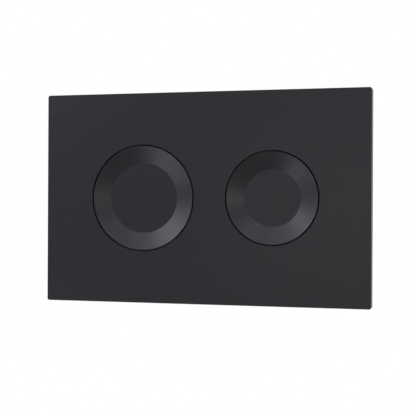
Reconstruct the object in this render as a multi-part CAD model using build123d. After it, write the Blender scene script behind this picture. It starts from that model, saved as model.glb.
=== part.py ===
from build123d import *
import os

# Flush button plate for a concealed cistern: a shallow black cover with two round dished buttons, each on a
# sprung stem that carries a push rod, and a mounting frame that the cover snaps onto.
# X runs to the right seen from the front, Z up and Y into the wall. The wall surface is Y = 0.
# Every piece is drawn in wall coordinates: local X right, local Y up, and local Z the height above the wall,
# towards the user. What lies in the opening of the wall has a height below zero.

# Cover plate
plate_width = 250.0
plate_height = 159.0
plate_depth = 10.0
plate_face = 2.6
plate_skirt = 2.4
plate_corner = 1.5
plate_edge = 0.2
pry_notch_width = 14.0
pry_notch_depth = 1.2

# Buttons
full_diameter = 79.0
part_diameter = 68.6
button_spacing = 99.8
button_gap = 1.05
button_edge = 0.15
button_wall = 2.2
button_skirt_wall = 1.8
button_rib = 1.4
button_rib_height = 0.6
button_rib_count = 4
dish_ring = 13.05
dish_depth = 3.2
press_travel = 6.0

# Stems, push rods and lock nuts
rod_radius = 4.0
rod_length = 70.0
rod_engagement = 16.0
rod_chamfer = 1.0
thread_clearance = 0.05
stem_wall = 2.95
stem_flat_depth = 1.0
stem_flat_clearance = 1.6
stem_tail = 2.4
slide_clearance = 0.2
nut_wall = 2.5
nut_thickness = 5.0

# Retaining clips
clip_reach = 2.6
clip_chamfer = 4.0
clip_thickness = 1.0
clip_mouth_overlap = 0.6
groove_depth = 0.5
groove_play = 0.1

# Springs
spring_wire = 1.2
spring_turns = 4.0
spring_turn_sections = 14
spring_stem_clearance = 1.9
spring_cup_clearance = 0.9

# Collars and gussets behind the cover
collar_wall = 1.8
gusset_thickness = 1.2
gusset_reach = 4.5
gusset_drop = 4.5
gusset_count = 6

# Button guides
guide_clearance = 0.5
guide_plate = 2.5
guide_overhang = 1.6
guide_rim = 5.0
guide_spoke = 9.0
guide_hub_rim = 4.0
guide_window_fillet = 2.0
guide_rib = 2.0
cup_wall = 2.0
cup_depth = 8.0
cup_floor = 2.0
sleeve_wall = 2.0
sleeve_length = 9.5

# Rubber buffers in the guides, which the buttons come down on
buffer_reach = 2.4
buffer_width = 6.0
buffer_height = 1.5
buffer_proud = 0.2
buffer_clearance = 0.1

# Mounting frame
frame_clearance = 1.1
frame_front_clearance = 1.0
frame_side_bar = 18.5
frame_cross_bar = 16.0
frame_web = 2.0
frame_flange = 2.0
frame_corner = 4.0
frame_rib = 1.6
frame_rib_drop = 1.4
bolt_rib_offset = 20.0
hook_rib_offset = 18.0

# Snap hooks that hold the guides and the frame to the cover
guide_hook_count = 4
guide_hook_angle = 45.0
guide_hook_width = 8.0
guide_hook_lead = 2.2
hook_spacing = 132.0
hook_width = 12.0
hook_thickness = 1.8
hook_barb = 1.5
hook_clearance = 0.3
hook_window_margin = 2.0
hook_bridge = 1.8
hook_play = 0.2

# Fixing bolts
bolt_radius = 4.0
bolt_neck_step = 0.6
bolt_neck_reach = 2.0
bolt_thread_length = 70.0
bolt_tip_chamfer = 1.2
bolt_head_clearance = 0.45
bolt_head_drop = 0.6
bolt_grip_count = 6
bolt_grip_radius = 1.7
bolt_slot_width = 1.6
bolt_slot_depth = 1.8
bolt_hole_clearance = 0.3
bolt_adjustment = 10.0

# Heights above the wall that several pieces share
face_back = plate_depth - plate_face
dish_floor = plate_depth - dish_depth
cap_back = dish_floor - button_wall
skirt_back = cap_back - button_rib_height
guide_front = skirt_back - press_travel - guide_clearance
guide_back = guide_front - guide_plate
buffer_seat = guide_front + buffer_proud - buffer_height
spring_seat = guide_front - cup_depth
sleeve_end = spring_seat - sleeve_length
groove_back = sleeve_end - clip_thickness - groove_play
stem_end = groove_back - stem_tail
rod_start = stem_end + rod_engagement
hook_root = face_back + plate_face / 2
frame_height = face_back - frame_front_clearance
hook_window_top = frame_height - hook_bridge
bolt_head_top = face_back - bolt_head_drop

# Radii that follow from one another, outwards from the push rod
stem_radius = rod_radius + thread_clearance + stem_wall
stem_flat = stem_radius - stem_flat_depth
groove_radius = stem_flat - groove_depth
way_radius = stem_radius + slide_clearance
sleeve_radius = way_radius + sleeve_wall
spring_radius = stem_radius + spring_stem_clearance + spring_wire / 2
cup_radius = spring_radius + spring_wire / 2 + spring_cup_clearance
clip_radius = stem_radius + clip_reach

# The frame sits inside the cover's skirt, and its bolts in the middle of its side channels
frame_width = plate_width - 2 * (plate_skirt + frame_clearance)
frame_depth = plate_height - 2 * (plate_skirt + frame_clearance)
window_width = frame_width - 2 * frame_side_bar
window_height = frame_depth - 2 * frame_cross_bar
bolt_x = (frame_width - frame_side_bar) / 2
bolt_head_radius = frame_side_bar / 2 - frame_flange - bolt_head_clearance

upward = (Align.CENTER, Align.CENTER, Align.MIN)


def hole_radius(diameter):
    return diameter / 2 + button_gap


def collar_radius(diameter):
    return hole_radius(diameter) + collar_wall


# The two buttons leave equal margins on the left and on the right.
full_x = (hole_radius(full_diameter) - hole_radius(part_diameter) - button_spacing) / 2
buttons = {
    "full_flush": (full_x, full_diameter),
    "part_flush": (full_x + button_spacing, part_diameter),
}


def disc(radius, low, high):
    return Pos(0, 0, low) * Cylinder(radius, high - low, align=upward)


def slab(outline, low, high):
    return Pos(0, 0, low) * extrude(outline, high - low)


def ring(outer, inner, low, high):
    return slab(Circle(outer) - Circle(inner), low, high)


def radial_web(points, thickness, angle):
    # A flat web through the axis, drawn as radius and height, and turned round the axis.
    outline = make_face(Polyline(*points, close=True))
    web = extrude(Plane.XZ * outline, thickness / 2, both=True)
    return Rot(0, 0, angle) * web


def double_d(radius, flat):
    return Circle(radius) & Rectangle(2 * radius, 2 * flat)


# Cover plate


def snap_hook():
    # A cantilever hook inside the frame's upper flange, with its barb in the flange's window.
    beam_top = frame_depth / 2 - frame_flange - hook_clearance
    catch = hook_window_top - hook_play
    tip = frame_web + hook_play
    outline = make_face(
        Polyline(
            (beam_top - hook_thickness, hook_root),
            (beam_top, hook_root),
            (beam_top, catch),
            (beam_top + hook_barb, catch),
            (beam_top, tip),
            (beam_top - hook_thickness, tip),
            close=True,
        )
    )
    return extrude(Plane.YZ * outline, hook_width / 2, both=True)


def guide_hook_angles():
    return [guide_hook_angle + step * 360 / guide_hook_count for step in range(guide_hook_count)]


def button_surround(diameter):
    # The collar that a button slides in, its gussets, and the hooks that hold the guide against the collar.
    outer = collar_radius(diameter)
    middle = outer - collar_wall / 2
    surround = ring(outer, hole_radius(diameter), guide_front, face_back)
    gusset = [
        (middle, face_back),
        (outer + gusset_reach, face_back),
        (outer, face_back - gusset_drop),
        (middle, face_back - gusset_drop),
    ]
    for step in range(gusset_count):
        surround += radial_web(gusset, gusset_thickness, step * 360 / gusset_count)
    beam = outer + hook_clearance
    catch = guide_back - hook_play
    hook = [
        (beam, hook_root),
        (beam + hook_thickness, hook_root),
        (beam + hook_thickness, catch - guide_hook_lead),
        (beam, catch - guide_hook_lead),
        (beam - hook_barb, catch),
        (beam, catch),
    ]
    for angle in guide_hook_angles():
        surround += radial_web(hook, guide_hook_width, angle)
    return surround


def front_plate():
    plate = extrude(RectangleRounded(plate_width, plate_height, plate_corner), plate_depth)
    plate = chamfer(plate.faces().sort_by(Axis.Z)[-1].edges(), plate_edge)
    inside_width = plate_width - 2 * plate_skirt
    inside_height = plate_height - 2 * plate_skirt
    plate -= extrude(RectangleRounded(inside_width, inside_height, plate_corner), face_back)
    notch = Box(pry_notch_width, 2 * plate_skirt, 2 * pry_notch_depth)
    plate -= Pos(0, (plate_skirt - plate_height) / 2, 0) * notch
    for x, diameter in buttons.values():
        plate -= Pos(x, 0, 0) * disc(hole_radius(diameter), face_back, plate_depth)
        plate += Pos(x, 0, 0) * button_surround(diameter)
    for turn in (0, 180):
        for x in (-hook_spacing / 2, hook_spacing / 2):
            plate += Rot(0, 0, turn) * Pos(x, 0, 0) * snap_hook()
    return plate


# Buttons


def cap(diameter):
    # A straight cone slopes in from the rim to a flat floor, over a skirt with ribs inside.
    radius = diameter / 2
    floor_radius = radius - dish_ring
    skirt_inner = radius - button_skirt_wall
    slope = dish_depth / dish_ring
    cone_back = cap_back + slope * (skirt_inner - floor_radius)
    profile = make_face(
        Polyline(
            (0, dish_floor),
            (floor_radius, dish_floor),
            (radius - button_edge, plate_depth - slope * button_edge),
            (radius, plate_depth - button_edge),
            (radius, skirt_back),
            (skirt_inner, skirt_back),
            (skirt_inner, cone_back),
            (floor_radius, cap_back),
            (0, cap_back),
            close=True,
        )
    )
    shell = revolve(Plane.XZ * profile, Axis.Z)
    rib = [
        (cup_radius, skirt_back),
        (radius - button_skirt_wall / 2, skirt_back),
        (radius - button_skirt_wall / 2, cone_back + button_wall / 2),
        (floor_radius, cap_back + button_wall / 2),
        (cup_radius, cap_back + button_wall / 2),
    ]
    for step in range(button_rib_count):
        shell += radial_web(rib, button_rib, step * 360 / button_rib_count)
    return shell


def stem():
    # Round under the cap, flat-sided through the guide so that it can't turn, grooved for its clip and bored
    # from behind for the push rod.
    round_end = spring_seat + press_travel + stem_flat_clearance
    shaft = disc(stem_radius, round_end, cap_back + button_wall / 2)
    shaft += slab(double_d(stem_radius, stem_flat), stem_end, round_end)
    shaft -= ring(2 * stem_radius, groove_radius, groove_back, sleeve_end)
    return shaft - disc(rod_radius + thread_clearance, stem_end, rod_start + rod_chamfer)


def button(diameter):
    return cap(diameter) + stem()


# Guides, which hold each button square and carry its spring and buffers


def buffers(diameter, clearance=0):
    # A block on each of the guide's spokes, under the wall of the button's skirt.
    block = Box(buffer_reach + 2 * clearance, buffer_width + 2 * clearance, buffer_height, align=upward)
    seat = Pos((diameter - button_skirt_wall) / 2, 0, buffer_seat)
    return Part() + [Rot(0, 0, angle) * seat * block for angle in guide_hook_angles()]


def guide(diameter):
    # A spoked disc with notches for the hooks and pockets for the buffers, a cup for the spring, and a sleeve
    # that fits the stem's flats.
    outer = collar_radius(diameter)
    hub = cup_radius + cup_wall
    notch_width = guide_hook_width + 2 * hook_clearance
    notch = Rectangle(2 * guide_overhang, notch_width, align=(Align.MIN, Align.CENTER))
    spoke = Rectangle(outer, guide_spoke, align=(Align.MIN, Align.CENTER))
    outline = Circle(outer + guide_overhang)
    windows = Circle(outer - guide_rim) - Circle(hub + guide_hub_rim)
    for angle in guide_hook_angles():
        outline -= Rot(0, 0, angle) * Pos(outer, 0, 0) * notch
        windows -= Rot(0, 0, angle) * spoke
    windows = fillet(windows.vertices(), guide_window_fillet)
    body = slab(outline - windows, guide_back, guide_front) - buffers(diameter, buffer_clearance)
    body += disc(hub, spring_seat - cup_floor, guide_front)
    middle = guide_front - guide_plate / 2
    rib = [
        (hub - cup_wall / 2, middle),
        (outer - guide_rim, middle),
        (outer - guide_rim, guide_back),
        (hub, spring_seat),
        (hub - cup_wall / 2, spring_seat),
    ]
    for angle in guide_hook_angles():
        body += radial_web(rib, guide_rib, angle)
    body += disc(sleeve_radius, sleeve_end, spring_seat)
    body -= disc(cup_radius, spring_seat, guide_front)
    return body - slab(double_d(way_radius, stem_flat + slide_clearance), sleeve_end, spring_seat)


def spring():
    # A helical loft through sections of the wire, ground flat where it meets the guide's cup and the button.
    start = spring_seat - spring_wire / 2
    rise = cap_back + spring_wire / 2 - start
    steps = round(spring_turns * spring_turn_sections)
    sections = []
    for step in range(steps + 1):
        turn = Rot(0, 0, 360 * step / spring_turn_sections)
        place = turn * Pos(spring_radius, 0, start + rise * step / steps) * Rot(90, 0, 0)
        sections.append(place * Rectangle(spring_wire, spring_wire))
    return loft(sections, ruled=True) & disc(cup_radius, spring_seat, cap_back)


def retaining_clip():
    # A flat fork in the stem's groove, with a mouth a little narrower than the groove.
    inner = groove_radius + groove_play
    fork = Rectangle(2 * clip_radius, 2 * clip_radius)
    fork = chamfer(fork.vertices().group_by(Axis.Y)[0], clip_chamfer)
    mouth = Rectangle(2 * (inner - clip_mouth_overlap), clip_radius, align=(Align.CENTER, Align.MIN))
    return slab(fork - Circle(inner) - mouth, sleeve_end - clip_thickness, sleeve_end)


def push_rod():
    rod = disc(rod_radius, rod_start - rod_length, rod_start)
    return chamfer(rod.edges().filter_by(GeomType.CIRCLE).sort_by(Axis.Z)[0], rod_chamfer)


def lock_nut():
    bore = rod_radius + thread_clearance
    outline = RegularPolygon(bore + nut_wall, 6, major_radius=False) - Circle(bore)
    return slab(outline, stem_end - nut_thickness, stem_end)


# Mounting frame and what holds it to the cistern


def mounting_frame():
    # A channel-section frame: a web on the wall between an outer flange and one round the window.
    outer = RectangleRounded(frame_width, frame_depth, frame_corner)
    window = RectangleRounded(window_width, window_height, frame_corner)
    frame = slab(outer - window, 0, frame_web)
    frame += slab(outer - offset(outer, -frame_flange), 0, frame_height)
    frame += slab(offset(window, frame_flange) - window, 0, frame_height)
    rib_height = frame_height - frame_rib_drop
    cross_rib = Box(frame_rib, frame_cross_bar - frame_flange, rib_height, align=upward)
    side_rib = Box(frame_side_bar - frame_flange, frame_rib, rib_height, align=upward)
    catch_width = hook_width + 2 * hook_window_margin
    catch_window = Box(catch_width, 2 * frame_flange, hook_window_top - frame_web, align=upward)
    slot_width = 2 * (bolt_radius + bolt_hole_clearance)
    slot = Rot(0, 0, 90) * SlotOverall(slot_width + bolt_adjustment, slot_width)
    cross_rib_x = hook_spacing / 2 + hook_rib_offset
    for side in (-1, 1):
        for x in (-cross_rib_x, 0, cross_rib_x):
            frame += Pos(x, side * (frame_depth - frame_cross_bar) / 2, 0) * cross_rib
        for y in (-bolt_rib_offset, bolt_rib_offset):
            frame += Pos(side * bolt_x, y, 0) * side_rib
        for x in (-hook_spacing / 2, hook_spacing / 2):
            frame -= Pos(x, side * (frame_depth - frame_flange) / 2, frame_web) * catch_window
        frame -= Pos(side * bolt_x, 0, 0) * slab(slot, 0, frame_web)
    return frame


def fixing_bolt():
    # A moulded bolt with a scalloped, slotted head, a plain neck in the frame and a long thread behind it.
    head = Circle(bolt_head_radius)
    for place in PolarLocations(bolt_head_radius + bolt_grip_radius / 2, bolt_grip_count):
        head -= place * Circle(bolt_grip_radius)
    slot = Rectangle(2 * bolt_head_radius, bolt_slot_width)
    bolt = slab(head, frame_web, bolt_head_top)
    bolt -= slab(slot, bolt_head_top - bolt_slot_depth, bolt_head_top)
    bolt += disc(bolt_radius - bolt_neck_step, -bolt_neck_reach, frame_web)
    thread = disc(bolt_radius, -bolt_neck_reach - bolt_thread_length, -bolt_neck_reach)
    thread = chamfer(thread.edges().filter_by(GeomType.CIRCLE).sort_by(Axis.Z)[0], bolt_tip_chamfer)
    return bolt + thread


pieces = {"front_plate": front_plate(), "mounting_frame": mounting_frame()}
for name, x in {"left": -bolt_x, "right": bolt_x}.items():
    pieces[f"{name}_fixing_bolt"] = Pos(x, 0, 0) * fixing_bolt()
for name, (x, diameter) in buttons.items():
    fittings = {
        "button": button(diameter),
        "guide": guide(diameter),
        "buffers": buffers(diameter),
        "spring": spring(),
        "retaining_clip": retaining_clip(),
        "push_rod": push_rod(),
        "lock_nut": lock_nut(),
    }
    for fitting, piece in fittings.items():
        pieces[f"{name}_{fitting}"] = Pos(x, 0, 0) * piece

os.makedirs("parts", exist_ok=True)
for name, piece in pieces.items():
    export_step(Plane.XZ * piece, f"parts/{name}.step")
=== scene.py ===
import math

import bmesh
import bpy
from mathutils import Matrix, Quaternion, Vector


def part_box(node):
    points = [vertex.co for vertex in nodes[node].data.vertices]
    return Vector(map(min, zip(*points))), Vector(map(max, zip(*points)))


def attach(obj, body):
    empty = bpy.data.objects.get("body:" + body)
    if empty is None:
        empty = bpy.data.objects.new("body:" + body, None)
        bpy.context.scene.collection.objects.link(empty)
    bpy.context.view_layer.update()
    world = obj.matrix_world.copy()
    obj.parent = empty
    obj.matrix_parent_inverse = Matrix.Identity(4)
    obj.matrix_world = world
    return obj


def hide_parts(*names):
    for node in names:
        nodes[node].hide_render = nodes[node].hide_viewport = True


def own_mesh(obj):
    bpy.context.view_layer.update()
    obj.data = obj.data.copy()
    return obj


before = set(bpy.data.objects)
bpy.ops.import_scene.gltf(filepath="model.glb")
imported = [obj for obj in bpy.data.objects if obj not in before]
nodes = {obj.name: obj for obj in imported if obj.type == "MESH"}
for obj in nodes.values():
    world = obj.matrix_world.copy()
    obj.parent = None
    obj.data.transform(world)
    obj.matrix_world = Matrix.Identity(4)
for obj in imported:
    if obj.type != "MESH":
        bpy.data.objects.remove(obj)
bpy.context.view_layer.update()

mm = 0.001
scene = bpy.context.scene
scene.view_settings.view_transform = "Standard"
print("frame loaded,", len(nodes), "nodes")


def hexColor(code):  # sRGB hex to linear
    channels = [int(code[i:i + 2], 16) / 255 for i in (1, 3, 5)]
    linear = [c / 12.92 if c <= 0.04045 else ((c + 0.055) / 1.055) ** 2.4 for c in channels]
    return (*linear, 1.0)


def perMetre(sizeMm):  # texture scale for a pattern whose detail is this many mm across
    return 1 / (sizeMm * mm)


# Inputs go by name, or by number where names repeat: a Mix node has its factor at 0, its two numbers at 2
# and 3, and its two colours at 6 and 7
def addNode(tree, kind, inputs=None, **settings):
    node = tree.nodes.new(kind)
    for name, value in settings.items():
        setattr(node, name, value)
    for name, value in (inputs or {}).items():
        if isinstance(value, bpy.types.NodeSocket):
            tree.links.new(value, node.inputs[name])
        else:
            node.inputs[name].default_value = value
    return node


def bearing(azimuth, elevation):  # direction from the plate, in degrees to the right and up
    around, up = math.radians(azimuth), math.radians(elevation)
    level = math.cos(up)
    return Vector((math.sin(around) * level, -math.cos(around) * level, math.sin(up)))


# Camera, to the right of the plate and level with its middle
cameraView = {
    "lensMm": 86.0,
    "sensorMm": 36.0,
    "aim": Vector((0.00433, -0.01025, -0.00744)),  # metres, as the distance is
    "distance": 0.740,
    "azimuth": 15.158,
    "elevation": -0.037,
    "roll": 0.259,
}


def addCamera(view):
    back = bearing(view["azimuth"], view["elevation"])
    camera = bpy.data.objects.new("camera", bpy.data.cameras.new("camera"))
    camera.data.lens = view["lensMm"]
    camera.data.sensor_width = view["sensorMm"]
    camera.rotation_mode = "QUATERNION"
    camera.location = view["aim"] + back * view["distance"]
    turn = Quaternion((0, 0, 1), math.radians(view["roll"]))
    camera.rotation_quaternion = (-back).to_track_quat("-Z", "Y") @ turn
    scene.collection.objects.link(camera)
    scene.camera = camera


addCamera(cameraView)
print("camera set")

# Softboxes, far enough away that both buttons see them at the same angle: azimuth and elevation in degrees,
# size in metres, and brightness of the cloth, where 1 is white. Two keys light the plate from above, and the
# dishes mirror the small boxes, which are a little cool.
lampDistance = 5.0
neutral, cool = "#ffffff", "#eef0ff"
keyBox, smallBox = (2.2, 1.5), (0.9, 0.7)
softboxes = {
    "keyTopLeft": ((-45, 45), keyBox, 14.6, neutral),
    "keyTop": ((-11, 59), keyBox, 3.4, neutral),
    "leftFirst": ((-42, 9), smallBox, 3.0, cool),
    "leftSecond": ((-41, 16), smallBox, 3.5, cool),
    "leftThird": ((-33, 17), smallBox, 4.5, cool),
    "leftFourth": ((-28, 22), smallBox, 1.4, cool),
    "lowFirst": ((-43, -10), smallBox, 2.3, cool),
    "lowSecond": ((-35, -18), smallBox, 1.1, cool),
    "lowWide": ((-33, -20), (1.6, 0.9), 1.7, cool),
    "topFirst": ((-14, 26), smallBox, 1.8, cool),
    "topSecond": ((1, 22), smallBox, 1.9, cool),
    "topThird": ((6, 17), smallBox, 1.4, cool),
    "nearCamera": ((12, 1), (0.9, 0.6), 2.8, neutral),  # mirrored at the left of both dishes
    "faceFill": ((-6, 0), (1.3, 1.1), 0.5, neutral),  # sheen on the flat face
    "rearRight": ((130, 14), (2.0, 2.5), 8.0, neutral),
    "rearLeft": ((-139, 24), (3.0, 2.0), 7.5, neutral),
}


def addSoftbox(name, angles, size, brightness, color):
    direction = bearing(*angles)
    data = bpy.data.lights.new(name, "AREA")
    data.shape = "RECTANGLE"
    data.size, data.size_y = size
    data.energy = brightness * math.pi * size[0] * size[1]  # watts for that brightness
    data.color = hexColor(color)[:3]
    lamp = bpy.data.objects.new(name, data)
    lamp.location = direction * lampDistance
    lamp.rotation_euler = direction.to_track_quat("Z", "Y").to_euler()
    lamp.visible_camera = False
    scene.collection.objects.link(lamp)


for name, box in softboxes.items():
    addSoftbox(name, *box)

# White backdrop for the camera and, half as bright, for reflections of what lies behind the plate. The studio
# in front of it is dark. How far back a direction points goes from -1 to 1, and the change lies between the
# values darkTo and whiteFrom.
studio = {"ambient": 0.05, "darkFront": 0.02, "whiteBehind": 0.50, "darkTo": 0.2, "whiteFrom": 0.6}


def addWorld(look):
    world = bpy.data.worlds.new("studio")
    scene.world = world
    world.use_nodes = True
    tree = world.node_tree
    tree.nodes.clear()
    path = addNode(tree, "ShaderNodeLightPath").outputs
    direction = addNode(tree, "ShaderNodeTexCoord").outputs["Generated"]
    depth = addNode(tree, "ShaderNodeSeparateXYZ", {0: direction}).outputs["Y"]
    ramp = {"Value": depth, "From Min": look["darkTo"], "From Max": look["whiteFrom"]}
    ramp.update({"To Min": look["darkFront"], "To Max": look["whiteBehind"]})
    behind = addNode(tree, "ShaderNodeMapRange", ramp, interpolation_type="SMOOTHSTEP").outputs[0]
    mirror = {0: path["Is Glossy Ray"], 1: path["Is Transmission Ray"]}
    mirrored = addNode(tree, "ShaderNodeMath", mirror, operation="MAXIMUM").outputs[0]
    seen = addNode(tree, "ShaderNodeMix", {0: mirrored, 2: look["ambient"], 3: behind}).outputs[0]
    strength = addNode(tree, "ShaderNodeMix", {0: path["Is Camera Ray"], 2: seen, 3: 1.0}).outputs[0]
    glow = {"Color": hexColor(neutral), "Strength": strength}
    shade = addNode(tree, "ShaderNodeBackground", glow).outputs[0]
    addNode(tree, "ShaderNodeOutputWorld", {"Surface": shade})


addWorld(studio)


def startMaterial(name):
    material = bpy.data.materials.new(name)
    material.use_nodes = True
    tree = material.node_tree
    tree.nodes.clear()
    return material, tree, addNode(tree, "ShaderNodeTexCoord").outputs["Object"]


def endMaterial(tree, inputs):
    shader = addNode(tree, "ShaderNodeBsdfPrincipled", inputs).outputs[0]
    addNode(tree, "ShaderNodeOutputMaterial", {"Surface": shader})


# Pale floor below the hung plate, in metres: it takes the plate's shadow, and runs out into the backdrop
floorLook = {"color": "#f2f2f0", "height": -0.45, "halfSize": 0.8, "nearRadius": 0.35, "farRadius": 0.75}


def paleFloor(look):
    material, tree, place = startMaterial("paleStudioFloor")
    flat = addNode(tree, "ShaderNodeVectorMath", {0: place, 1: (1, 1, 0)}, operation="MULTIPLY").outputs[0]
    radius = addNode(tree, "ShaderNodeVectorMath", {0: flat}, operation="LENGTH").outputs["Value"]
    fade = {"Value": radius, "From Min": look["nearRadius"], "From Max": look["farRadius"]}
    far = addNode(tree, "ShaderNodeMapRange", fade, interpolation_type="SMOOTHSTEP").outputs[0]
    camera = addNode(tree, "ShaderNodeLightPath").outputs["Is Camera Ray"]
    backdrop = addNode(tree, "ShaderNodeMath", {0: far, 1: camera}, operation="MULTIPLY").outputs[0]
    paint = addNode(tree, "ShaderNodeBsdfDiffuse", {"Color": hexColor(look["color"])}).outputs[0]
    white = addNode(tree, "ShaderNodeEmission", {"Color": hexColor(neutral), "Strength": 1.0}).outputs[0]
    shade = addNode(tree, "ShaderNodeMixShader", {0: backdrop, 1: paint, 2: white}).outputs[0]
    addNode(tree, "ShaderNodeOutputMaterial", {"Surface": shade})
    return material


def addFloor(look):
    mesh = bpy.data.meshes.new("studioFloor")
    sheet = bmesh.new()
    bmesh.ops.create_grid(sheet, x_segments=1, y_segments=1, size=look["halfSize"])
    bmesh.ops.translate(sheet, vec=(0, 0, look["height"]), verts=sheet.verts)
    sheet.to_mesh(mesh)
    sheet.free()
    mesh.materials.append(paleFloor(look))
    floor = bpy.data.objects.new("studioFloor", mesh)
    floor.visible_glossy = False
    scene.collection.objects.link(floor)


addFloor(floorLook)
print("lights, backdrop and floor set")

# In the materials below, the roughness goes from its first value to its second between the two noise levels.

# Satin lacquer sprayed on moulded ABS: near black, even, with a soft sheen and the faintest orange peel.
# Real orange peel is about 0.4 mm across, too fine to show, so it is drawn at 0.9 mm.
lacquer = {
    "color": "#2f3133",
    "ior": 1.5,
    "mistMm": 1.6,
    "noiseLow": 0.2,
    "noiseHigh": 0.8,
    "roughnessLow": 0.266,
    "roughnessHigh": 0.274,
    "peelMm": 0.9,
    "peelDepthMm": 0.0002,
}


def satinBlackLacquer(look):
    material, tree, place = startMaterial("satinBlackLacquer")
    droplets = {"Vector": place, "Scale": perMetre(look["mistMm"])}
    mist = addNode(tree, "ShaderNodeTexNoise", droplets).outputs[0]
    sheen = {"Value": mist, "From Min": look["noiseLow"], "From Max": look["noiseHigh"]}
    sheen.update({"To Min": look["roughnessLow"], "To Max": look["roughnessHigh"]})
    roughness = addNode(tree, "ShaderNodeMapRange", sheen).outputs[0]
    ripple = {"Vector": place, "Scale": perMetre(look["peelMm"])}
    peel = addNode(tree, "ShaderNodeTexNoise", ripple).outputs[0]
    relief = {"Height": peel, "Distance": look["peelDepthMm"] * mm}
    bump = addNode(tree, "ShaderNodeBump", relief).outputs[0]
    color = hexColor(look["color"])
    endMaterial(tree, {"Base Color": color, "Roughness": roughness, "IOR": look["ior"], "Normal": bump})
    return material


# Acetal dyed black, moulded: charcoal and waxy, with faint flow clouds in its colour and sheen
acetal = {
    "light": "#3c3d3f",
    "dark": "#343537",
    "ior": 1.48,
    "flowMm": 18.0,
    "flowDetail": 3.0,
    "flowSwirl": 0.6,
    "noiseLow": 0.3,
    "noiseHigh": 0.7,
    "roughnessLow": 0.36,
    "roughnessHigh": 0.46,
    "grainMm": 0.6,
    "grainDepthMm": 0.004,
    "edgeMm": 0.3,
}


def blackAcetal(look):
    material, tree, place = startMaterial("blackAcetalMoulded")
    drift = {"Vector": place, "Scale": perMetre(look["flowMm"])}
    drift.update({"Detail": look["flowDetail"], "Distortion": look["flowSwirl"]})
    flow = addNode(tree, "ShaderNodeTexNoise", drift).outputs[0]
    blend = {0: flow, 6: hexColor(look["dark"]), 7: hexColor(look["light"])}
    color = addNode(tree, "ShaderNodeMix", blend, data_type="RGBA").outputs[2]
    sheen = {"Value": flow, "From Min": look["noiseLow"], "From Max": look["noiseHigh"]}
    sheen.update({"To Min": look["roughnessLow"], "To Max": look["roughnessHigh"]})
    roughness = addNode(tree, "ShaderNodeMapRange", sheen).outputs[0]
    specks = {"Vector": place, "Scale": perMetre(look["grainMm"])}
    grain = addNode(tree, "ShaderNodeTexNoise", specks).outputs[0]
    edge = addNode(tree, "ShaderNodeBevel", {"Radius": look["edgeMm"] * mm}).outputs[0]
    relief = {"Height": grain, "Distance": look["grainDepthMm"] * mm, "Normal": edge}
    bump = addNode(tree, "ShaderNodeBump", relief).outputs[0]
    endMaterial(tree, {"Base Color": color, "Roughness": roughness, "IOR": look["ior"], "Normal": bump})
    return material


# Grey ABS, moulded in a spark-eroded tool: an even matt grain of pits and high spots, a little shinier on
# top, with painted shade that darkens the pits
greyAbs = {
    # darker grey of the pits, painted shade in the grain's hollows
    "pitsPaintedShade": "#4e5154",
    "tops": "#5c5f62",
    "ior": 1.53,
    "grainMm": 0.8,
    "grainDetail": 3.0,
    "grainHarshness": 0.6,
    "grainDepthMm": 0.03,
    "noiseLow": 0.35,
    "noiseHigh": 0.65,
    "roughnessPits": 0.68,
    "roughnessTops": 0.5,
    "edgeMm": 0.3,
}


def sparkGrainedAbs(look):
    material, tree, place = startMaterial("greyAbsSparkGrained")
    spots = {"Vector": place, "Scale": perMetre(look["grainMm"])}
    spots.update({"Detail": look["grainDetail"], "Roughness": look["grainHarshness"]})
    grain = addNode(tree, "ShaderNodeTexNoise", spots).outputs[0]
    # painted shade: the low pits of the grain get the darker grey, the high spots the lighter
    blend = {0: grain, 6: hexColor(look["pitsPaintedShade"]), 7: hexColor(look["tops"])}
    color = addNode(tree, "ShaderNodeMix", blend, data_type="RGBA").outputs[2]
    sheen = {"Value": grain, "From Min": look["noiseLow"], "From Max": look["noiseHigh"]}
    sheen.update({"To Min": look["roughnessPits"], "To Max": look["roughnessTops"]})
    roughness = addNode(tree, "ShaderNodeMapRange", sheen).outputs[0]
    edge = addNode(tree, "ShaderNodeBevel", {"Radius": look["edgeMm"] * mm}).outputs[0]
    relief = {"Height": grain, "Distance": look["grainDepthMm"] * mm, "Normal": edge}
    bump = addNode(tree, "ShaderNodeBump", relief).outputs[0]
    endMaterial(tree, {"Base Color": color, "Roughness": roughness, "IOR": look["ior"], "Normal": bump})
    return material


# Undyed nylon, moulded: warm white, smooth and slightly glossy, with a faint yellow drift. Some light goes in
# and comes out again a little way off, red the farthest.
nylon = {
    "light": "#dedbd0",
    "dark": "#d6d0c0",
    "ior": 1.53,
    "roughness": 0.34,
    "driftMm": 12.0,
    "waveMm": 1.5,
    "waveDepthMm": 0.003,
    "scatterShare": 0.15,
    "scatterMm": 1.5,
    "scatterReach": (1.0, 0.8, 0.55),
}


def undyedNylon(look):
    material, tree, place = startMaterial("undyedNylonMoulded")
    yellowing = {"Vector": place, "Scale": perMetre(look["driftMm"])}
    drift = addNode(tree, "ShaderNodeTexNoise", yellowing).outputs[0]
    blend = {0: drift, 6: hexColor(look["dark"]), 7: hexColor(look["light"])}
    color = addNode(tree, "ShaderNodeMix", blend, data_type="RGBA").outputs[2]
    swell = {"Vector": place, "Scale": perMetre(look["waveMm"])}
    wave = addNode(tree, "ShaderNodeTexNoise", swell).outputs[0]
    relief = {"Height": wave, "Distance": look["waveDepthMm"] * mm}
    bump = addNode(tree, "ShaderNodeBump", relief).outputs[0]
    surface = {"Base Color": color, "Roughness": look["roughness"], "IOR": look["ior"], "Normal": bump}
    surface.update({"Subsurface Weight": look["scatterShare"], "Subsurface Scale": look["scatterMm"] * mm})
    surface["Subsurface Radius"] = look["scatterReach"]
    endMaterial(tree, surface)
    return material


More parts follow.
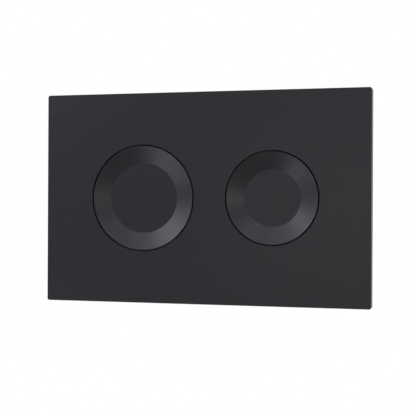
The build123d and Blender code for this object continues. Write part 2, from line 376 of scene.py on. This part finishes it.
# Spring steel, drawn and tempered: mid grey metal with fine draw lines and a faint straw tint in patches
springSteel = {
    "grey": "#a2a3a5",
    "straw": "#9c968a",
    "tintMm": 7.0,
    "lineMm": 0.25,
    "lineStretch": 30.0,
    "lineDetail": 1.0,
    "lineDepthMm": 0.003,
    "noiseLow": 0.3,
    "noiseHigh": 0.7,
    "roughnessLow": 0.24,
    "roughnessHigh": 0.4,
}


def temperedSteel(look):
    material, tree, place = startMaterial("springSteelTempered")
    patches = {"Vector": place, "Scale": perMetre(look["tintMm"])}
    tint = addNode(tree, "ShaderNodeTexNoise", patches).outputs[0]
    blend = {0: tint, 6: hexColor(look["grey"]), 7: hexColor(look["straw"])}
    color = addNode(tree, "ShaderNodeMix", blend, data_type="RGBA").outputs[2]
    stretch = {"Vector": place, "Scale": (1 / look["lineStretch"], 1, 1)}
    drawn = {"Vector": addNode(tree, "ShaderNodeMapping", stretch).outputs[0]}
    drawn.update({"Scale": perMetre(look["lineMm"]), "Detail": look["lineDetail"]})
    lines = addNode(tree, "ShaderNodeTexNoise", drawn).outputs[0]
    sheen = {"Value": lines, "From Min": look["noiseLow"], "From Max": look["noiseHigh"]}
    sheen.update({"To Min": look["roughnessLow"], "To Max": look["roughnessHigh"]})
    roughness = addNode(tree, "ShaderNodeMapRange", sheen).outputs[0]
    relief = {"Height": lines, "Distance": look["lineDepthMm"] * mm}
    bump = addNode(tree, "ShaderNodeBump", relief).outputs[0]
    endMaterial(tree, {"Base Color": color, "Metallic": 1.0, "Roughness": roughness, "Normal": bump})
    return material


# Black rubber, moulded: matt and fine grained, with a grey bloom in patches
rubber = {
    "black": "#1d1d1e",
    "bloom": "#2b2b2c",
    "ior": 1.52,
    "roughness": 0.7,
    "bloomMm": 3.0,
    "grainMm": 0.5,
    "grainDepthMm": 0.02,
}


def mouldedRubber(look):
    material, tree, place = startMaterial("blackRubberMoulded")
    patches = {"Vector": place, "Scale": perMetre(look["bloomMm"])}
    bloom = addNode(tree, "ShaderNodeTexNoise", patches).outputs[0]
    blend = {0: bloom, 6: hexColor(look["black"]), 7: hexColor(look["bloom"])}
    color = addNode(tree, "ShaderNodeMix", blend, data_type="RGBA").outputs[2]
    specks = {"Vector": place, "Scale": perMetre(look["grainMm"])}
    grain = addNode(tree, "ShaderNodeTexNoise", specks).outputs[0]
    relief = {"Height": grain, "Distance": look["grainDepthMm"] * mm}
    bump = addNode(tree, "ShaderNodeBump", relief).outputs[0]
    surface = {"Base Color": color, "Roughness": look["roughness"], "IOR": look["ior"], "Normal": bump}
    endMaterial(tree, surface)
    return material


lacquerFinish = satinBlackLacquer(lacquer)
acetalFinish = blackAcetal(acetal)
absFinish = sparkGrainedAbs(greyAbs)
nylonFinish = undyedNylon(nylon)
steelFinish = temperedSteel(springSteel)
rubberFinish = mouldedRubber(rubber)
print("materials made")

# Pieces that keep their CAD shape
carriedOver = {
    "front_plate": lacquerFinish,
    "full_flush_button": lacquerFinish,
    "part_flush_button": lacquerFinish,
    "mounting_frame": absFinish,
    "full_flush_guide": acetalFinish,
    "part_flush_guide": acetalFinish,
    "full_flush_buffers": rubberFinish,
    "part_flush_buffers": rubberFinish,
    "full_flush_retaining_clip": steelFinish,
    "part_flush_retaining_clip": steelFinish,
}
for name, finish in carriedOver.items():
    nodes[name].data.materials.clear()
    nodes[name].data.materials.append(finish)
print("CAD pieces finished")

intoWall = (-math.pi / 2, 0, 0)  # turn that lays a piece made along Z into the wall, along Y


def startTree(name, sizes):
    tree = bpy.data.node_groups.new(name, "GeometryNodeTree")
    tree.interface.new_socket("Geometry", in_out="OUTPUT", socket_type="NodeSocketGeometry")
    for label, kind in sizes.items():
        tree.interface.new_socket(label, in_out="INPUT", socket_type=kind)
    return tree, addNode(tree, "NodeGroupInput").outputs


def endTree(tree, geometry, finish):
    plain = addNode(tree, "GeometryNodeRealizeInstances", {0: geometry}).outputs[0]
    painted = addNode(tree, "GeometryNodeSetMaterial", {"Geometry": plain, "Material": finish}).outputs[0]
    addNode(tree, "NodeGroupOutput", {0: painted})


def addPiece(name, mesh, sharpAngle):
    mesh.name = name
    mesh.shade_smooth()
    mesh.set_sharp_from_angle(angle=math.radians(sharpAngle))
    piece = bpy.data.objects.new(name, mesh)
    scene.collection.objects.link(piece)
    return piece


def runTree(name, tree, values, sharpAngle):
    holder = bpy.data.objects.new(name + "Holder", bpy.data.meshes.new(name + "Holder"))
    scene.collection.objects.link(holder)
    modifier = holder.modifiers.new("shape", "NODES")
    modifier.node_group = tree
    for item in tree.interface.items_tree:
        if item.in_out == "INPUT":
            modifier[item.identifier] = values[item.name]
    graph = bpy.context.evaluated_depsgraph_get()
    mesh = bpy.data.meshes.new_from_object(holder.evaluated_get(graph))
    mesh.materials.clear()  # a cylinder node leaves an empty first slot
    mesh.materials.append(values["Finish"])
    holder.modifiers.remove(modifier)
    bpy.data.objects.remove(holder)
    return addPiece(name, mesh, sharpAngle)


# Trapezoid thread of the push rods and fixing bolts. Its flank goes down between two shares of the pitch,
# counted from the middle of the crest.
thread = {
    "pitchMm": 2.5,
    "depthMm": 0.8,
    "flankStart": 0.14,
    "flankEnd": 0.36,
    "chamferMm": 1.0,
    "around": 40,
    "rowsPerTurn": 12,
    "sharpAngle": 50,
}


def mouldedThread():
    number, whole = "NodeSocketFloat", "NodeSocketInt"
    inputs = {"Radius": number, "Length": number, "Pitch": number, "Depth": number, "Chamfer": number}
    inputs.update({"Flank Start": number, "Flank End": number, "Around": whole, "Rows per Turn": whole})
    inputs.update({"Start": "NodeSocketVector", "Finish": "NodeSocketMaterial"})
    tree, size = startTree("mouldedThread", inputs)
    outer, length, pitch = size["Radius"], size["Length"], size["Pitch"]
    turns = addNode(tree, "ShaderNodeMath", {0: length, 1: pitch}, operation="DIVIDE").outputs[0]
    rowCount = {0: turns, 1: size["Rows per Turn"]}
    rows = addNode(tree, "ShaderNodeMath", rowCount, operation="MULTIPLY").outputs[0]
    rod = {"Vertices": size["Around"], "Side Segments": rows, "Radius": outer, "Depth": length}
    blank = addNode(tree, "GeometryNodeMeshCylinder", rod).outputs["Mesh"]
    place = addNode(tree, "GeometryNodeInputPosition").outputs[0]
    axes = addNode(tree, "ShaderNodeSeparateXYZ", {0: place}).outputs
    # phase along the helix: 0 on the crest, 0.5 in the root
    angle = addNode(tree, "ShaderNodeMath", {0: axes["Y"], 1: axes["X"]}, operation="ARCTAN2").outputs[0]
    lag = addNode(tree, "ShaderNodeMath", {0: angle, 1: math.tau}, operation="DIVIDE").outputs[0]
    along = addNode(tree, "ShaderNodeMath", {0: axes["Z"], 1: pitch}, operation="DIVIDE").outputs[0]
    phase = addNode(tree, "ShaderNodeMath", {0: along, 1: lag}, operation="SUBTRACT").outputs[0]
    fold = addNode(tree, "ShaderNodeMath", {0: phase, 1: 0.5}, operation="PINGPONG").outputs[0]
    flank = {"Value": fold, "From Min": size["Flank Start"], "From Max": size["Flank End"]}
    flank.update({"To Min": 0.0, "To Max": size["Depth"]})
    groove = addNode(tree, "ShaderNodeMapRange", flank).outputs[0]
    cutBack = addNode(tree, "ShaderNodeMath", {0: outer, 1: groove}, operation="SUBTRACT").outputs[0]
    # both tips run out in a 45 degree chamfer
    height = addNode(tree, "ShaderNodeMath", {0: axes["Z"]}, operation="ABSOLUTE").outputs[0]
    half = addNode(tree, "ShaderNodeMath", {0: length, 1: 0.5}, operation="MULTIPLY").outputs[0]
    inset = addNode(tree, "ShaderNodeMath", {0: half, 1: height}, operation="SUBTRACT").outputs[0]
    tip = {0: size["Chamfer"], 1: inset}
    excess = addNode(tree, "ShaderNodeMath", tip, operation="SUBTRACT").outputs[0]
    bite = addNode(tree, "ShaderNodeMath", {0: excess, 1: 0.0}, operation="MAXIMUM").outputs[0]
    limit = addNode(tree, "ShaderNodeMath", {0: outer, 1: bite}, operation="SUBTRACT").outputs[0]
    radius = addNode(tree, "ShaderNodeMath", {0: cutBack, 1: limit}, operation="MINIMUM").outputs[0]
    ratio = addNode(tree, "ShaderNodeMath", {0: radius, 1: outer}, operation="DIVIDE").outputs[0]
    spread = addNode(tree, "ShaderNodeCombineXYZ", {"X": ratio, "Y": ratio, "Z": 1.0}).outputs[0]
    formed = addNode(tree, "ShaderNodeVectorMath", {0: place, 1: spread}, operation="MULTIPLY").outputs[0]
    cut = addNode(tree, "GeometryNodeSetPosition", {"Geometry": blank, "Position": formed}).outputs[0]
    middle = addNode(tree, "ShaderNodeCombineXYZ", {"Y": half}).outputs[0]
    shift = addNode(tree, "ShaderNodeVectorMath", {0: size["Start"], 1: middle}, operation="ADD").outputs[0]
    pose = {"Geometry": cut, "Translation": shift, "Rotation": intoWall}
    laid = addNode(tree, "GeometryNodeTransform", pose).outputs[0]
    endTree(tree, laid, size["Finish"])
    return tree


threadTree = mouldedThread()


def cutThread(name, start, radius, length):
    values = {
        "Radius": radius,
        "Length": length,
        "Pitch": thread["pitchMm"] * mm,
        "Depth": thread["depthMm"] * mm,
        "Flank Start": thread["flankStart"],
        "Flank End": thread["flankEnd"],
        "Chamfer": thread["chamferMm"] * mm,
        "Around": thread["around"],
        "Rows per Turn": thread["rowsPerTurn"],
        "Start": start,
        "Finish": nylonFinish,
    }
    return runTree(name, threadTree, values, thread["sharpAngle"])


for side in ("full", "part"):
    low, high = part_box(side + "_flush_push_rod")
    middle = (low + high) / 2
    rod = cutThread(side + "PushRod", (middle.x, low.y, middle.z), (high.x - low.x) / 2, high.y - low.y)
    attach(rod, side + "_flush_plunger")
    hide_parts(side + "_flush_push_rod")
print("push rods threaded")

# Fixing bolts: the CAD head and neck, with a real thread behind them
bolt = {
    "threadStartMm": 2.0,
    "threadRadiusMm": 4.0,
    "neckIntoThreadMm": 1.0,
    "mergeMm": 0.001,
    "sharpAngle": 40,
}


def headAndNeck(node, cutY):
    head = bmesh.new()
    head.from_mesh(nodes[node].data)
    bmesh.ops.remove_doubles(head, verts=head.verts, dist=bolt["mergeMm"] * mm)
    everything = head.verts[:] + head.edges[:] + head.faces[:]
    bmesh.ops.bisect_plane(
        head,
        geom=everything,
        plane_co=(0, cutY, 0),
        plane_no=(0, 1, 0),
        clear_outer=True,
    )
    bmesh.ops.holes_fill(head, edges=[edge for edge in head.edges if edge.is_boundary])
    return head


for side in ("left", "right"):
    node = side + "_fixing_bolt"
    low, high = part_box(node)
    start = bolt["threadStartMm"] * mm
    radius = bolt["threadRadiusMm"] * mm
    centre = (low.x + high.x) / 2
    shank = cutThread(side + "FixingBolt", (centre, start, 0.0), radius, high.y - start)
    whole = headAndNeck(node, start + bolt["neckIntoThreadMm"] * mm)
    whole.from_mesh(shank.data)
    whole.to_mesh(shank.data)
    whole.free()
    shank.data.set_sharp_from_angle(angle=math.radians(bolt["sharpAngle"]))
    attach(shank, "wall_plate")
    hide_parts(node)
print("fixing bolts threaded")

# Lock nuts: hexagons with turned chamfers on the corners and in the bore
nut = {
    "sides": 6,
    "boreRadiusMm": 4.05,
    "boreChamferMm": 0.5,
    "cornerRadiusShare": 0.97,  # where the corner chamfer starts, 1 being the middle of a flat
    "cornerSlope": 0.58,  # about 30 degrees
    "around": 96,
    "sharpAngle": 20,
}


def chamferedNut(name, low, high, look):
    centre = (low + high) / 2
    flat = (high.z - low.z) / 2
    half = (high.y - low.y) / 2
    bore = look["boreRadiusMm"] * mm
    lead = look["boreChamferMm"] * mm
    turned = flat * look["cornerRadiusShare"]
    sector = math.tau / look["sides"]
    body = bmesh.new()
    sections = []
    for step in range(look["around"]):
        angle = math.tau * step / look["around"]
        corner = flat / math.cos(angle % sector - sector / 2)
        shoulder = half - (corner - turned) * look["cornerSlope"]
        outline = [(bore, half - lead), (bore + lead, half), (turned, half), (corner, shoulder)]
        outline += [(radius, -height) for radius, height in reversed(outline)]
        section = []
        for radius, height in outline:
            offset = Vector((radius * math.cos(angle), height, radius * math.sin(angle)))
            section.append(body.verts.new(centre + offset))
        sections.append(section)
    rings = list(zip(*sections))
    for ring, following in zip(rings, rings[1:] + rings[:1]):
        for step in range(look["around"]):
            after = (step + 1) % look["around"]
            body.faces.new((ring[step], ring[after], following[after], following[step]))
    bmesh.ops.recalc_face_normals(body, faces=body.faces)
    mesh = bpy.data.meshes.new(name)
    body.to_mesh(mesh)
    body.free()
    mesh.materials.append(nylonFinish)
    return addPiece(name, mesh, look["sharpAngle"])


for side in ("full", "part"):
    node = side + "_flush_lock_nut"
    lockNut = chamferedNut(side + "LockNut", *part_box(node), nut)
    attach(lockNut, side + "_flush_plunger")
    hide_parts(node)
print("lock nuts made")

# Return springs: round wire, with closed turns at both ends
coil = {
    "wireMm": 1.2,
    "turns": 5.0,
    "closedTurns": 0.9,  # at each end
    "pointsPerTurn": 36,
    "wireSides": 12,
    "pressedGapMm": 0.02,  # left under the button when it is pressed
    "sharpAngle": 50,
}


def closedCoil():
    number, whole = "NodeSocketFloat", "NodeSocketInt"
    inputs = {"Coil Radius": number, "Wire": number, "Height": number}
    inputs.update({"Turns": number, "Closed Turns": number, "Points per Turn": whole, "Wire Sides": whole})
    inputs.update({"Start": "NodeSocketVector", "Finish": "NodeSocketMaterial"})
    tree, size = startTree("closedCoil", inputs)
    thickness, turns, closed = size["Wire"], size["Turns"], size["Closed Turns"]
    flat = {"Resolution": size["Points per Turn"], "Rotations": turns, "Height": 0.0}
    flat.update({"Start Radius": size["Coil Radius"], "End Radius": size["Coil Radius"]})
    line = addNode(tree, "GeometryNodeCurveSpiral", flat).outputs[0]
    share = addNode(tree, "GeometryNodeSplineParameter").outputs["Factor"]
    turn = addNode(tree, "ShaderNodeMath", {0: share, 1: turns}, operation="MULTIPLY").outputs[0]
    lastOpen = addNode(tree, "ShaderNodeMath", {0: turns, 1: closed}, operation="SUBTRACT").outputs[0]
    # closed turns climb one wire each
    first = addNode(tree, "ShaderNodeMath", {0: turn, 1: closed}, operation="MINIMUM").outputs[0]
    beyond = addNode(tree, "ShaderNodeMath", {0: turn, 1: lastOpen}, operation="SUBTRACT").outputs[0]
    last = addNode(tree, "ShaderNodeMath", {0: beyond, 1: 0.0}, operation="MAXIMUM").outputs[0]
    dead = addNode(tree, "ShaderNodeMath", {0: first, 1: last}, operation="ADD").outputs[0]
    halfWire = addNode(tree, "ShaderNodeMath", {0: thickness, 1: 0.5}, operation="MULTIPLY").outputs[0]
    stacked = {0: dead, 1: thickness, 2: halfWire}
    climbed = addNode(tree, "ShaderNodeMath", stacked, operation="MULTIPLY_ADD").outputs[0]
    # open turns share out what two closed ends and the wire's own thickness leave
    bothEnds = {0: closed, 1: 2.0, 2: 1.0}
    lost = addNode(tree, "ShaderNodeMath", bothEnds, operation="MULTIPLY_ADD").outputs[0]
    taken = addNode(tree, "ShaderNodeMath", {0: lost, 1: thickness}, operation="MULTIPLY").outputs[0]
    free = addNode(tree, "ShaderNodeMath", {0: size["Height"], 1: taken}, operation="SUBTRACT").outputs[0]
    reach = {"Value": turn, "From Min": closed, "From Max": lastOpen, "To Min": 0.0, "To Max": free}
    opened = addNode(tree, "ShaderNodeMapRange", reach).outputs[0]
    rise = addNode(tree, "ShaderNodeMath", {0: climbed, 1: opened}, operation="ADD").outputs[0]
    lift = addNode(tree, "ShaderNodeCombineXYZ", {"Z": rise}).outputs[0]
    wound = addNode(tree, "GeometryNodeSetPosition", {"Geometry": line, "Offset": lift}).outputs[0]
    circle = {"Resolution": size["Wire Sides"], "Radius": halfWire}
    section = addNode(tree, "GeometryNodeCurvePrimitiveCircle", circle).outputs[0]
    sweep = {"Curve": wound, "Profile Curve": section, "Fill Caps": True}
    wire = addNode(tree, "GeometryNodeCurveToMesh", sweep).outputs[0]
    pose = {"Geometry": wire, "Translation": size["Start"], "Rotation": intoWall}
    laid = addNode(tree, "GeometryNodeTransform", pose).outputs[0]
    endTree(tree, laid, size["Finish"])
    return tree


coilTree = closedCoil()
for side in ("full", "part"):
    node = side + "_flush_spring"
    low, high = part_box(node)
    rodLow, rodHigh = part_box(side + "_flush_push_rod")
    centre = (rodLow.x + rodHigh.x) / 2
    wire = coil["wireMm"] * mm
    values = {
        "Coil Radius": high.x - centre - wire / 2,
        "Wire": wire,
        "Turns": coil["turns"],
        "Closed Turns": coil["closedTurns"],
        "Height": high.y - low.y,
        "Points per Turn": coil["pointsPerTurn"],
        "Wire Sides": coil["wireSides"],
        "Start": (centre, low.y, 0.0),
        "Finish": steelFinish,
    }
    spring = runTree(side + "ReturnSpring", coilTree, values, coil["sharpAngle"])
    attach(spring, "wall_plate")
    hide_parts(node)
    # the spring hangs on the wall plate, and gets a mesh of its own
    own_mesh(spring)
print("return springs wound")

bpy.context.view_layer.update()
